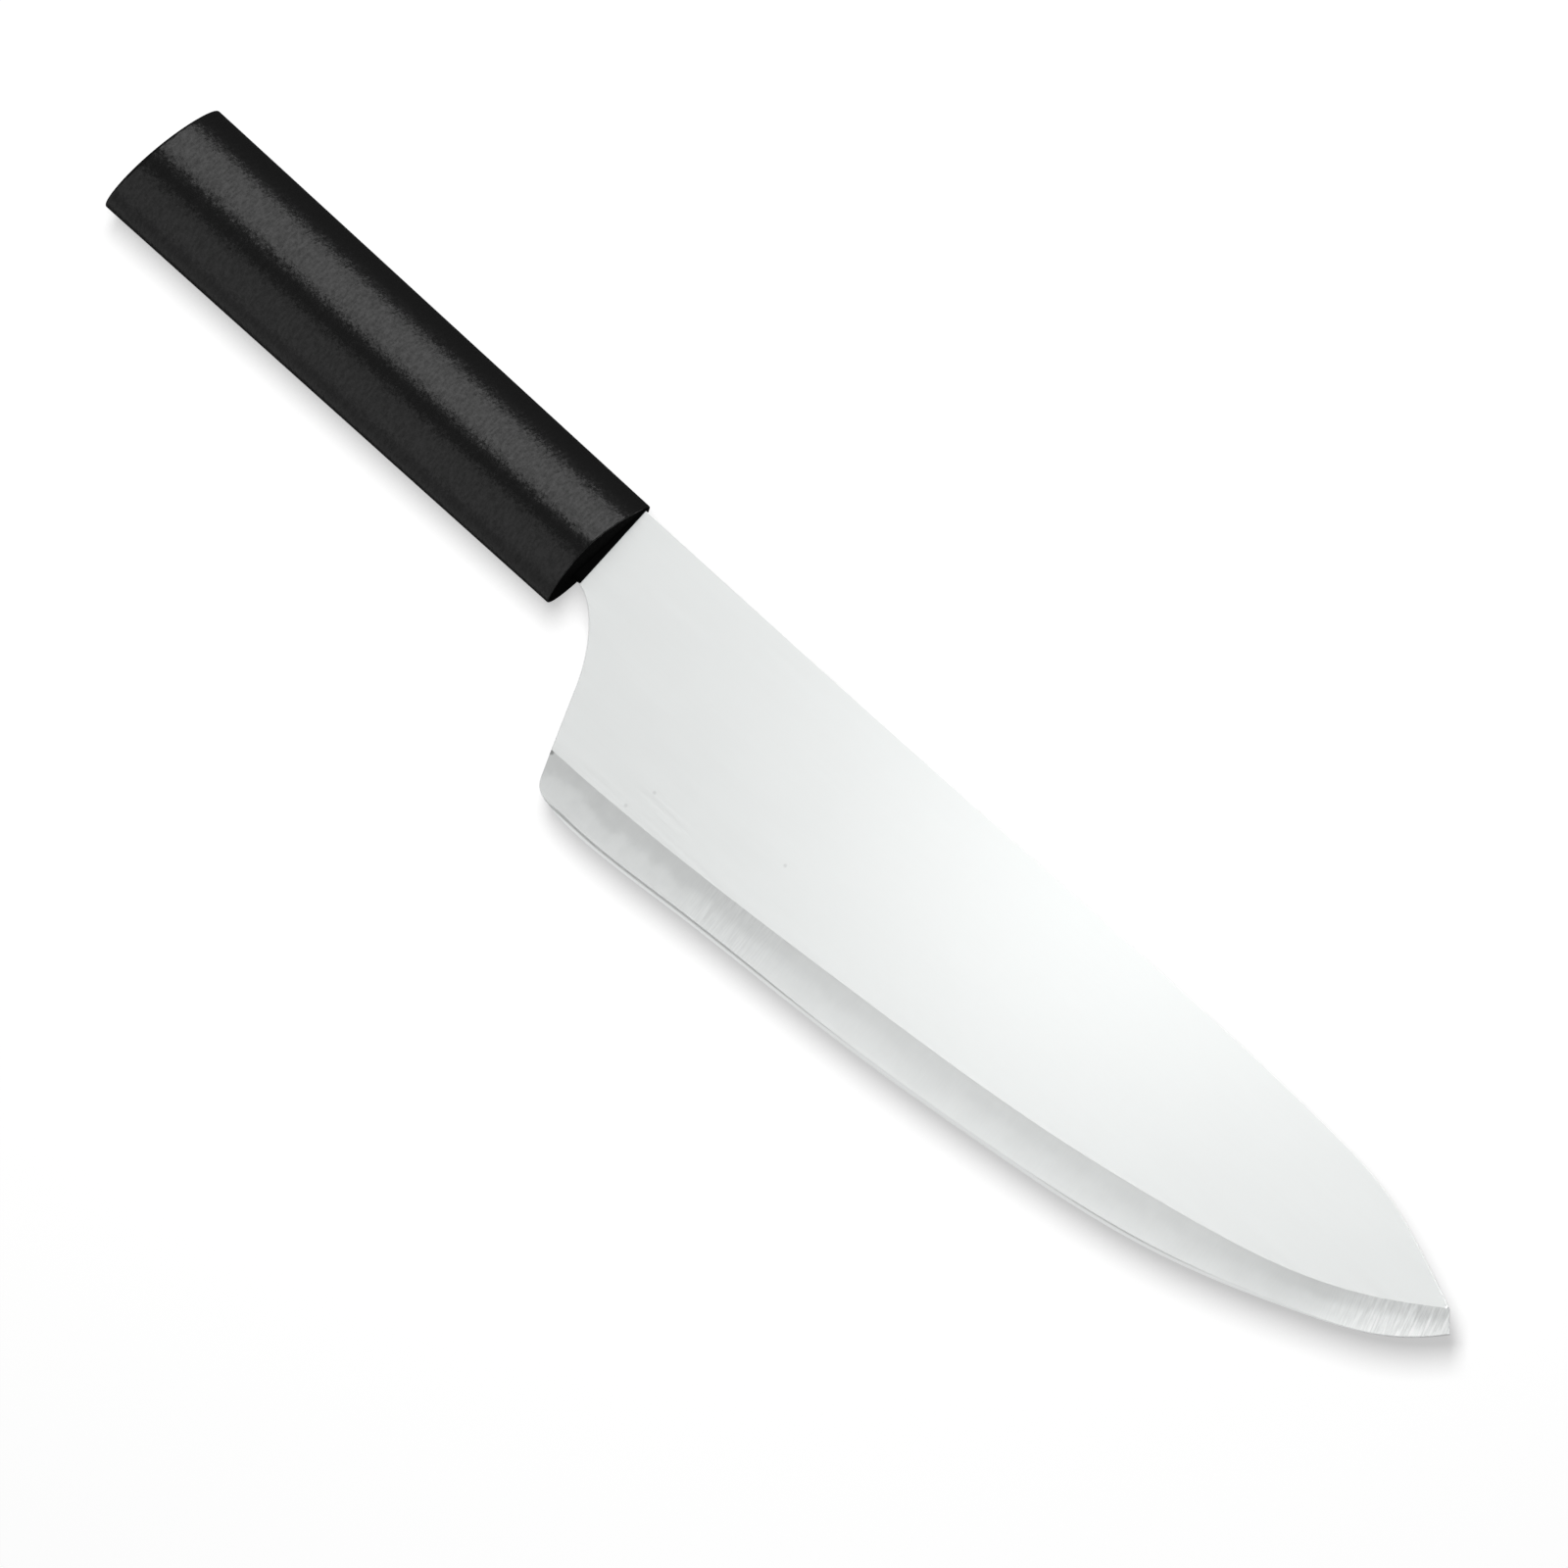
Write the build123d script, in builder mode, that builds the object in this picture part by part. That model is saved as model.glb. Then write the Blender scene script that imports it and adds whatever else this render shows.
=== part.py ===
from build123d import *
import math
import os

# A chef's knife, lying flat on its side.
#
# Millimetres. +X runs from the handle to the tip, +Y from the cutting edge to the spine, and +Z
# up through the thickness of the blade. The origin is under the middle of the knife, on the
# surface that it lies on, so the broad side of the handle touches Z = 0.
#
# The knife is drawn on its middle plane, whose own origin is on the centre line of the handle
# where the blade leaves it: x forward towards the tip, y up towards the spine.

# Overall sizes
BLADE_LENGTH = 214.6        # from the front of the handle to the tip
HANDLE_LENGTH = 113.6       # on its centre line, from the blade back to the butt
EDGE_DEPTH = 41.15          # lowest point of the edge below the centre line
HANDLE_FRONT_WIDTH = 25.9
HANDLE_BUTT_WIDTH = 27.4
HANDLE_FRONT_THICKNESS = 17.2
HANDLE_BUTT_THICKNESS = 18.4

# Blade
BLADE_THICKNESS = 1.9       # ground a little thinner than the sheet that the tang keeps
EDGE_THICKNESS = 0.3        # behind the sharpened edge
HOLLOW_SAG = 0.12           # how far the hollow grind dips below a straight bevel
RUN_OUT = 0.1               # share of the grind's depth that its curve carries on above the flat
SPINE_Y = 11.85             # spine at the handle, on the straight first stretch
SPINE_STRAIGHT = 36.0
SPINE_END = (1, -0.42)      # direction of the spine where the point is clipped
NECK_Y = -6.4               # underside of the neck at the handle
CHOIL_MIDDLE = (6.6, -10.9)
CHOIL_START = (-0.39, 1)    # direction of the choil where it leaves the heel
CHOIL_END = (-1, 0.2)       # and where it reaches the handle
HEEL_TOP = (12.65, -21.0)   # where the curve of the choil runs into the straight heel
HEEL_FOOT = (20.35, -40.3)  # heel corner, before it is rounded
HEEL_RADIUS = 2.4
EDGE_LOWEST = (31, -EDGE_DEPTH)
TIP = (BLADE_LENGTH, -0.8)
TIP_DIRECTION = (-0.72, -0.66)

# Tang, the part of the blade inside the handle
TANG_THICKNESS = 2.0
TANG_LENGTH = 96.0
TANG_NECK_LENGTH = 12.0
TANG_STEP = 5.0
TANG_INSET = 0.8            # of the neck, inside the blade's own outline
TANG_HALF_WIDTH = 5.8
TANG_END_HALF_WIDTH = 4.5
TANG_END_RADIUS = 3.5
TANG_HOLE_RADIUS = 2.75
TANG_HOLE_PITCH = 26.0
TANG_HOLES = 3

# Handle
OVAL_EDGE = 0.40            # the section is a pointed oval: how bluntly it meets its two edges
OVAL_FLAT = 0.55            # and how wide its broad faces stay near full thickness
FRONT_SLANT = 4.2           # degrees; the underside ends further back than the top
BUTT_SLANT = 7.8            # degrees; the underside runs further back than the top
FRONT_SETBACK = 1.0         # of the front face behind the collar round the blade
FRONT_CROWN_RADIUS = 45.0   # the front face is crowned across the thickness
FRONT_ROUNDING = 0.8
BUTT_ROUNDING = 1.2
COLLAR_TOP = 12.5           # collar round the neck of the blade
COLLAR_BOTTOM = -6.3
COLLAR_HALF_THICKNESS = 1.9
COLLAR_ROUNDING = 1.2

CLEAR = 5.0                 # how far cutting shapes reach past the solid

# The middle of the knife's own box, as seen from the blade's junction with the handle
butt_reach = HANDLE_LENGTH + HANDLE_BUTT_WIDTH / 2 * math.tan(math.radians(BUTT_SLANT))
MIDDLE_X = (BLADE_LENGTH - butt_reach) / 2
MIDDLE_Y = (HANDLE_BUTT_WIDTH / 2 - EDGE_DEPTH) / 2
MIDDLE_Z = HANDLE_BUTT_THICKNESS / 2

side = Plane(origin=(-MIDDLE_X, -MIDDLE_Y, MIDDLE_Z))


def cross_plane(x):
    """The plane across the knife at x, with its own x towards the spine and its own y up."""
    return Plane(
        origin=side.from_local_coords((x, 0, 0)),
        x_dir=(0, 1, 0),
        z_dir=(1, 0, 0),
    )


os.makedirs("parts", exist_ok=True)

# The blade's outline: the spine drops to a clipped point, the edge is a long belly.
spine_points = [
    (SPINE_STRAIGHT, SPINE_Y),
    (91, 12.2),
    (146, 12.55),
    (174, 11.85),
    (188.5, 10.3),
    (200, 6.8),
    (211.4, 2.3),
]
edge_points = [
    TIP,
    (206, -8.4),
    (191.5, -16.9),
    (164, -26.2),
    (128, -32.8),
    (91, -37.0),
    (55, -39.5),
    EDGE_LOWEST,
]

# The hollow grind: x, the line where it leaves the flat, and the edge below that line.
grind_stations = [
    (8, -32.6, -41.4),
    (36, -32.2, -41.0),
    (91, -28.0, -37.0),
    (128, -24.0, -32.8),
    (164, -17.5, -26.2),
    (191.5, -9.3, -16.9),
    (206, -1.3, -8.4),
    (217, 5.3, 2.0),
]

# Hollow grind, as the solid that the wheel takes off one side, then the same on the other
with BuildPart() as hollow:
    rise = (BLADE_THICKNESS - EDGE_THICKNESS) / 2
    middle = (BLADE_THICKNESS + EDGE_THICKNESS) / 4 - HOLLOW_SAG
    extra_sag = 4 * RUN_OUT * (1 + RUN_OUT) * HOLLOW_SAG
    start_height = BLADE_THICKNESS / 2 + RUN_OUT * rise + extra_sag
    for x, grind_y, edge_y in grind_stations:
        depth = grind_y - edge_y
        run_out = RUN_OUT * depth
        with BuildSketch(cross_plane(x)):
            with BuildLine():
                arc = ThreePointArc(
                    (grind_y + run_out, start_height),
                    (grind_y - depth / 2, middle),
                    (edge_y, EDGE_THICKNESS / 2),
                )
                Polyline(
                    arc @ 1,
                    (edge_y - CLEAR, EDGE_THICKNESS / 2),
                    (edge_y - CLEAR, BLADE_THICKNESS),
                    (grind_y + run_out, BLADE_THICKNESS),
                    arc @ 0,
                )
            make_face()
    loft()
    mirror(about=side)

# Tang, as it is punched out with the blade: a wide neck, then a narrower tongue with holes
with BuildPart() as tang:
    with BuildSketch(side) as tang_outline:
        with BuildLine():
            Polyline(
                (0, SPINE_Y - TANG_INSET),
                (-TANG_NECK_LENGTH, SPINE_Y - TANG_INSET),
                (-TANG_NECK_LENGTH - TANG_STEP, TANG_HALF_WIDTH),
                (-TANG_LENGTH, TANG_END_HALF_WIDTH),
                (-TANG_LENGTH, -TANG_END_HALF_WIDTH),
                (-TANG_NECK_LENGTH - TANG_STEP, -TANG_HALF_WIDTH),
                (-TANG_NECK_LENGTH, NECK_Y + TANG_INSET),
                (0, NECK_Y + TANG_INSET),
                close=True,
            )
        make_face()
        fillet(tang_outline.vertices().group_by(Axis.X)[0], radius=TANG_END_RADIUS)
        with Locations((-TANG_NECK_LENGTH - TANG_STEP - TANG_HOLE_PITCH, 0)):
            with GridLocations(TANG_HOLE_PITCH, 0, TANG_HOLES, 1):
                Circle(TANG_HOLE_RADIUS, mode=Mode.SUBTRACT)
    extrude(amount=TANG_THICKNESS / 2, both=True)

# Blade, with its tang in one piece of stainless sheet
with BuildPart() as blade:
    with BuildSketch(side):
        with BuildLine():
            Line((0, SPINE_Y), spine_points[0])
            Spline(*spine_points, tangents=((1, 0), SPINE_END))
            Line(spine_points[-1], TIP)
            Spline(*edge_points, tangents=(TIP_DIRECTION, (-1, 0)))
            Line(EDGE_LOWEST, HEEL_FOOT)
            Line(HEEL_FOOT, HEEL_TOP)
            Spline(HEEL_TOP, CHOIL_MIDDLE, (0, NECK_Y), tangents=(CHOIL_START, CHOIL_END))
            Line((0, NECK_Y), (0, SPINE_Y))
        make_face()
    extrude(amount=BLADE_THICKNESS / 2, both=True)
    upright = blade.edges().filter_by(Axis.Z)
    heel_edge = upright.sort_by_distance(side.from_local_coords((*HEEL_FOOT, 0)))[0]
    fillet(heel_edge, radius=HEEL_RADIUS)
    add(hollow.part, mode=Mode.SUBTRACT)
    add(tang.part)
blade.part.label = "blade"
export_step(blade.part, "parts/blade.step")

# Handle, moulded in one piece round the tang: the resin fills the tang's holes
butt_plane = Plane(
    origin=side.from_local_coords((-HANDLE_LENGTH, 0, 0)),
    z_dir=(1, -math.tan(math.radians(BUTT_SLANT)), 0),
)
front_plane = Plane(origin=side.origin, x_dir=(1, 0, 0), z_dir=(0, -1, 0))
front_direction = (math.tan(math.radians(FRONT_SLANT)), 1, 0)
crown_fall = FRONT_CROWN_RADIUS - math.sqrt(FRONT_CROWN_RADIUS**2 - MIDDLE_Z**2)

with BuildPart() as handle:
    for x in (-HANDLE_LENGTH - CLEAR, 0):
        share = -x / HANDLE_LENGTH
        half_width = (HANDLE_FRONT_WIDTH + share * (HANDLE_BUTT_WIDTH - HANDLE_FRONT_WIDTH)) / 2
        half_thickness = (
            HANDLE_FRONT_THICKNESS + share * (HANDLE_BUTT_THICKNESS - HANDLE_FRONT_THICKNESS)
        ) / 2
        with BuildSketch(cross_plane(x)):
            with BuildLine():
                Bezier(
                    (half_width, 0),
                    (half_width, OVAL_EDGE * half_thickness),
                    (OVAL_FLAT * half_width, half_thickness),
                    (0, half_thickness),
                )
                mirror(about=Plane.YZ)
                mirror(about=Plane.XZ)
            make_face()
    loft()

    split(bisect_by=butt_plane, keep=Keep.TOP)
    with BuildSketch(front_plane):
        with BuildLine():
            ThreePointArc(
                (-FRONT_SETBACK - crown_fall, -MIDDLE_Z),
                (-FRONT_SETBACK, 0),
                (-FRONT_SETBACK - crown_fall, MIDDLE_Z),
            )
            Polyline(
                (-FRONT_SETBACK - crown_fall, MIDDLE_Z),
                (-FRONT_SETBACK - crown_fall, MIDDLE_Z + CLEAR),
                (-HANDLE_LENGTH - 2 * CLEAR, MIDDLE_Z + CLEAR),
                (-HANDLE_LENGTH - 2 * CLEAR, -MIDDLE_Z - CLEAR),
                (-FRONT_SETBACK - crown_fall, -MIDDLE_Z - CLEAR),
                (-FRONT_SETBACK - crown_fall, -MIDDLE_Z),
            )
        make_face()
    extrude(amount=HANDLE_BUTT_WIDTH, dir=front_direction, both=True, mode=Mode.INTERSECT)
    fillet(handle.faces().sort_by(Axis.X)[0].edges(), radius=BUTT_ROUNDING)
    fillet(handle.faces().sort_by(Axis.X)[-1].edges(), radius=FRONT_ROUNDING)

    with BuildSketch(cross_plane(0)):
        with Locations(((COLLAR_TOP + COLLAR_BOTTOM) / 2, 0)):
            RectangleRounded(COLLAR_TOP - COLLAR_BOTTOM, 2 * COLLAR_HALF_THICKNESS, COLLAR_ROUNDING)
    extrude(amount=-CLEAR)
    add(tang.part, mode=Mode.SUBTRACT)
handle.part.label = "handle"
export_step(handle.part, "parts/handle.step")
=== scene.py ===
import math

import bmesh
import bpy
import numpy as np
from bpy.props import FloatProperty, FloatVectorProperty, IntProperty, PointerProperty
from mathutils import Matrix, Vector


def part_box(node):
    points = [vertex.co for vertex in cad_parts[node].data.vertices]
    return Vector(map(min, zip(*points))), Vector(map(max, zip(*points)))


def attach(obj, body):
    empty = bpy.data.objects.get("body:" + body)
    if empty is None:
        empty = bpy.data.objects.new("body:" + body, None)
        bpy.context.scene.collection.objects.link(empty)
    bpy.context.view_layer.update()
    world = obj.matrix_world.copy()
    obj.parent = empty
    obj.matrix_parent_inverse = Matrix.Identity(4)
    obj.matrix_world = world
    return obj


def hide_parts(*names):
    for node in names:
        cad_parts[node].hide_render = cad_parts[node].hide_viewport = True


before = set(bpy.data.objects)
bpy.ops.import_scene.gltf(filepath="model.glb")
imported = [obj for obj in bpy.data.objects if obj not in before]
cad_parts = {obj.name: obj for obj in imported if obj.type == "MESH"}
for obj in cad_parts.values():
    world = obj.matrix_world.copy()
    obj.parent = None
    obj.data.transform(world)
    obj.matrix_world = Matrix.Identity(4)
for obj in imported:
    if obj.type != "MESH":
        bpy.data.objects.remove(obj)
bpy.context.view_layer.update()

bl_info = {
    "name": "Chef Knife Maker",
    "version": (1, 0, 0),
    "blender": (4, 5, 0),
    "location": "3D View > Sidebar > Chef Knife",
    "description": "Builds a chef's knife with a hollow-ground blade and a moulded resin handle",
    "category": "Add Mesh",
}

MM = 0.001

# ---------------------------------------------------------------------------------------------
# Reference points of the knife, from the frame
#
# The outlines below are in millimetres on the knife's middle plane: x runs from the front of the
# handle to the tip, y from the centre line of the handle up to the spine, z up from the plane.

BLADE_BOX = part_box("blade")
HANDLE_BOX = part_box("handle")
JUNCTION = Vector((
    HANDLE_BOX[1].x,
    (HANDLE_BOX[0].y + HANDLE_BOX[1].y) / 2,
    (BLADE_BOX[0].z + BLADE_BOX[1].z) / 2,
))
BLADE_LENGTH = (BLADE_BOX[1].x - JUNCTION.x) / MM
EDGE_DEPTH = (JUNCTION.y - BLADE_BOX[0].y) / MM
HANDLE_LENGTH = 113.6

# the blade's outline, and the grind line between the flat and the hollow-ground band
SPINE_START = (0.0, 11.85)
EDGE_START = (31, -EDGE_DEPTH)
GRIND_START = (17.3, -32.6)
GRIND_END = (211.4, 2.3)
TIP = (BLADE_LENGTH, -1.1)
SPINE = [
    (36, 11.85), (91, 12.2), (146, 12.55), (174, 11.85), (188.5, 10.3), (200, 6.8), GRIND_END,
]
EDGE = [
    EDGE_START, (55, -39.5), (91, -37.0), (128, -32.8), (164, -26.2), (191.5, -16.5),
    (206.4, -8.85), TIP,
]
GRIND = [
    GRIND_START, (36, -32.2), (91, -28.0), (128, -24.0), (164, -17.5), (191.5, -9.3),
    (206, -1.3), GRIND_END,
]
CHOIL = [(0, -6.4), (6.7, -10.85), (12.8, -21.0)]
HEEL = [
    (19.25, -37.65), (19.9, -38.8), (20.9, -39.65), (22.4, -40.25), (25.5, -40.8), EDGE_START,
]

# where the grind line and the edge would run on, for the places just past their ends
GRIND_BEYOND = (220.0, 7.6)
EDGE_BEFORE = (8.0, -41.3)
EDGE_BEYOND = (220.0, 4.0)

# the place on the spine that the first column of the band is joined to
SPINE_OVER_HEEL = 26

# small dark specks on the flat, and the dark spot at the heel end of the grind line
SPECKS = [(37.2, -25.7), (34.8, -31.0), (64.6, -19.4)]
HEEL_SPOT = (17.6, -32.9)

# places along the blade where the honed bevel starts and narrows, and where the shoulder above it
# fades out and shows again; their least widths; and the blade's half thickness where it is thinnest
BEVEL_START = 24.5
BEVEL_NARROWS = 188
SHOULDER_FADES = 80
SHOULDER_RETURNS = 155
LEAST_BEVEL = 0.03
LEAST_SHOULDER = 0.02
THINNEST_HALF = 0.015

# the hidden tang: a neck from the blade back into the handle, then a tongue that narrows
NECK_TOP = 11.05
NECK_FOOT = -5.6
NECK_BACK = -12.0
TONGUE_FRONT = -17.0
TONGUE_FRONT_HALF = 5.8
TONGUE_END = -96.0
TONGUE_END_HALF = 4.5

# the collar round the neck, and the pocket in the handle, a hair wider than the tang
COLLAR_FOOT = -6.3
COLLAR_HEAD = 12.5
COLLAR_HALF_THICKNESS = 1.9
COLLAR_CORNER = 1.2
COLLAR_ROUNDING = 0.3
POCKET_GAP = 0.02
POCKET_HALF_THICKNESS = 0.96
POCKET_CORNER = 0.1

# the blade's materials, in the order of their slots
FLAT, BAND, BEVEL, RIM = range(4)


# ---------------------------------------------------------------------------------------------
# Curves

def spline(points, start, end):
    """A smooth curve through the points, as a function of t from 0 to 1.

    Between two points it is the cubic that matches both points and both slopes; the slopes are
    those that also make the bend continuous, with the given directions at the two ends, and t is
    measured along the straight chords.
    """
    p = np.asarray(points, float)
    chord = np.hypot(*np.diff(p, axis=0).T)
    knots = np.concatenate(([0.0], np.cumsum(chord)))
    n = len(p)
    system = np.eye(n)
    right = np.zeros((n, 2))
    right[0] = np.asarray(start, float) / np.hypot(*start)
    right[-1] = np.asarray(end, float) / np.hypot(*end)
    for i in range(1, n - 1):
        before, after = chord[i - 1], chord[i]
        system[i, i - 1:i + 2] = after, 2 * (before + after), before
        right[i] = 3 * (after * (p[i] - p[i - 1]) / before + before * (p[i + 1] - p[i]) / after)
    slope = np.linalg.solve(system, right)

    def curve(t):
        s = np.clip(np.asarray(t, float), 0, 1) * knots[-1]
        i = np.clip(np.searchsorted(knots, s, side="right") - 1, 0, n - 2)
        h = chord[i]
        u = ((s - knots[i]) / h)[..., None]
        h = h[..., None]
        return (
            (2 * u**3 - 3 * u**2 + 1) * p[i]
            + (u**3 - 2 * u**2 + u) * h * slope[i]
            + (3 * u**2 - 2 * u**3) * p[i + 1]
            + (u**3 - u**2) * h * slope[i + 1]
        )

    return curve


def even(curve, count):
    """count points along a curve, the same distance apart: t is read back from the arc length."""
    t = np.linspace(0, 1, 20 * count)
    fine = curve(t)
    length = np.concatenate(([0.0], np.cumsum(np.hypot(*np.diff(fine, axis=0).T))))
    return curve(np.interp(np.linspace(0, length[-1], count), length, t))


def chain(*pieces):
    """Pieces of outline joined end to end, each one's first point being the last one's end."""
    return np.concatenate([pieces[0]] + [piece[1:] for piece in pieces[1:]])


def at_lengths(line, shares):
    """The points of a line of short straight stretches at those shares of its whole length."""
    run = np.concatenate(([0.0], np.cumsum(np.hypot(*np.diff(line, axis=0).T))))
    return np.stack([np.interp(np.asarray(shares) * run[-1], run, line[:, k]) for k in (0, 1)], 1)


def straight(a, b, count):
    """count points on the straight line from a to b."""
    t = np.linspace(0, 1, count)[:, None]
    return np.asarray(a, float) * (1 - t) + np.asarray(b, float) * t


def rounded_corner(before, corner, after, radius, count):
    """The arc of that radius that touches both sides of a corner: it starts and ends at
    radius / tan(half the angle between the sides) from the corner."""
    corner = np.asarray(corner, float)
    a = np.asarray(before, float) - corner
    b = np.asarray(after, float) - corner
    a /= np.hypot(*a)
    b /= np.hypot(*b)
    half = math.acos(a @ b) / 2
    centre = corner + (a + b) / np.hypot(*(a + b)) * radius / math.sin(half)
    first = corner + a * radius / math.tan(half) - centre
    last = corner + b * radius / math.tan(half) - centre
    turn = math.acos(np.clip(first @ last / radius**2, -1, 1))
    t = np.linspace(0, 1, count)[:, None]
    return centre + (np.sin((1 - t) * turn) * first + np.sin(t * turn) * last) / math.sin(turn)


# ---------------------------------------------------------------------------------------------
# Meshes

def grid_faces(rows, columns, closed=False, first=0):
    """The quads of a grid of rows x columns points, numbered row by row from first. A closed
    grid also joins its last column to its first."""
    index = first + np.arange(rows * columns).reshape(rows, columns)
    if closed:
        index = np.concatenate((index, index[:, :1]), axis=1)
    quads = np.stack((index[:-1, :-1], index[:-1, 1:], index[1:, 1:], index[1:, :-1]), -1)
    return quads.reshape(-1, 4)


def make_object(name, points, faces, materials, slots, band_share=None):
    """A closed, outward-facing object from points in millimetres, measured from the place where
    the handle's centre line meets its front, each face with the number of its material. A
    band_share, one value for each point, is kept as an attribute for the materials."""
    mesh = bpy.data.meshes.new(name)
    mesh.from_pydata((np.asarray(points) * MM + np.array(JUNCTION)).tolist(), [], faces.tolist())
    for material in materials:
        mesh.materials.append(material)
    mesh.polygons.foreach_set("material_index", np.asarray(slots, np.int32))
    mesh.polygons.foreach_set("use_smooth", np.ones(len(faces), bool))
    if band_share is not None:
        attribute = mesh.attributes.new("band_share", "FLOAT", "POINT")
        attribute.data.foreach_set("value", np.asarray(band_share, np.float32))
    clean_up(mesh)
    piece = bpy.data.objects.new(name, mesh)
    bpy.context.scene.collection.objects.link(piece)
    return piece


def clean_up(mesh, merge_distance=1e-6, sharp_angle=35):
    """Merges the points that patches share, turns every face outwards and marks the creases."""
    bm = bmesh.new()
    bm.from_mesh(mesh)
    bmesh.ops.remove_doubles(bm, verts=bm.verts, dist=merge_distance)
    bmesh.ops.recalc_face_normals(bm, faces=bm.faces)
    bm.to_mesh(mesh)
    bm.free()
    mesh.set_sharp_from_angle(angle=math.radians(sharp_angle))


# ---------------------------------------------------------------------------------------------
# Blade

def distance_to(line, points):
    """How far each point is from the nearest place on a line of short straight stretches."""
    nearest = np.full(points.shape[:-1], np.inf)
    for a, b in zip(line[:-1], line[1:]):
        run = b - a
        share = np.clip((points - a) @ run / (run @ run), 0, 1)
        gap = points - a - share[..., None] * run
        nearest = np.minimum(nearest, np.hypot(gap[..., 0], gap[..., 1]))
    return nearest


def rise(x, middle, width):
    """0 well before the middle and 1 well past it: 1 / (1 + e to the power (middle - x) / width)."""
    return 1 / (1 + np.exp((middle - x) / width))


class BladeShape:
    """The blade's outline and the half thickness at each place on it."""

    def __init__(self, settings):
        self.half = settings.thickness / MM / 2
        self.hollow_foot = settings.hollow_foot / MM / 2
        self.sag = settings.hollow_sag / MM
        self.bevel = settings.bevel_width / MM
        self.shoulder = settings.shoulder_width / MM
        self.shoulder_slope = math.tan(settings.shoulder_angle)
        self.easing = settings.easing / MM
        self.spine = chain(
            straight(SPINE_START, SPINE[0], 40), even(spline(SPINE, (1, 0), (1, -0.42)), 260)
        )
        self.edge = even(spline(EDGE, (1, 0), (0.64, 0.77)), 400)
        self.grind = even(spline(GRIND, (1, 0), (0.85, 0.53)), 400)
        self.corner = even(spline(HEEL, (0.4, -0.92), (1, 0)), 80)
        self.choil = even(spline(CHOIL, (1, -0.2), (0.37, -0.93)), 60)
        self.heel = straight(CHOIL[-1], HEEL[0], 30)
        self.bottom = chain(self.corner, self.edge)
        self.eased = [self.spine, chain(self.choil, self.heel, self.corner)]

    def band(self, x, y):
        """How far down the hollow-ground band a place is, 0 on the grind line and 1 on the edge,
        and how deep the band is there."""
        grind_x, grind_y = np.vstack((self.grind, GRIND_BEYOND)).T
        edge_x, edge_y = np.vstack((EDGE_BEFORE, self.edge, EDGE_BEYOND)).T
        top = np.interp(x, grind_x, grind_y)
        foot = np.interp(x, edge_x, edge_y)
        return (top - y) / (top - foot), top - foot

    def bevel_steps(self, x):
        """How far from the edge the honed bevel ends, and how far the shoulder above it ends. The
        bevel dies away round the corner of the heel and narrows towards the tip. The shoulder is
        widest near the heel, fades out, and shows again faintly further on. The bevel is a third
        wider where there is no shoulder."""
        honed = rise(x, BEVEL_START, 0.8)
        worn = 1 - rise(x, SHOULDER_FADES, 6) + 0.4 * np.exp(-((x - SHOULDER_RETURNS) / 14)**2)
        kept = 1 - 0.85 * rise(x, BEVEL_NARROWS, 6)
        inner = LEAST_BEVEL + self.bevel * (1.35 - 0.35 * worn) * honed * kept
        return inner, inner + self.shoulder * worn * honed + LEAST_SHOULDER

    def hollow(self, f):
        """Half thickness of the band before it is sharpened: a straight line from the flat to the
        foot less a sag, h = flat + (foot - flat) f - 4 sag f (1 - f)."""
        return self.half + (self.hollow_foot - self.half) * f - 4 * self.sag * f * (1 - f)

    def half_thickness(self, points):
        """The flat is at full thickness and the hollow band falls from it. A shoulder and then the
        honed bevel, which falls 0.42 for each 1 of its width, take it down to the edge in two
        straight steps. The corners of the outline are rounded by a small quarter circle."""
        x, y = points[..., 0], points[..., 1]
        f, depth = self.band(x, y)
        f = np.clip(f, 0, 1)
        h = self.hollow(f)
        slope = np.gradient(self.edge[:, 1], self.edge[:, 0])
        cosine = 1 / np.hypot(1, np.interp(x, self.edge[:, 0], slope))
        from_edge = (1 - f) * depth * cosine
        inner, outer = self.bevel_steps(x)
        top = self.hollow(1 - outer / (depth * cosine))
        middle = top - self.shoulder_slope * (outer - inner)
        edge_half = np.clip(middle - 0.42 * inner, THINNEST_HALF, None)
        shoulder = middle + (top - middle) * (from_edge - inner) / (outer - inner)
        honed = edge_half + (middle - edge_half) * from_edge / inner
        h = np.where(from_edge < inner, honed, np.where(from_edge < outer, shoulder, h))
        for line in self.eased:
            inside = np.clip(self.easing - distance_to(line, points), 0, self.easing)
            h = h - (self.easing - np.sqrt(self.easing**2 - inside**2))
        return np.maximum(h, THINNEST_HALF)


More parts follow.
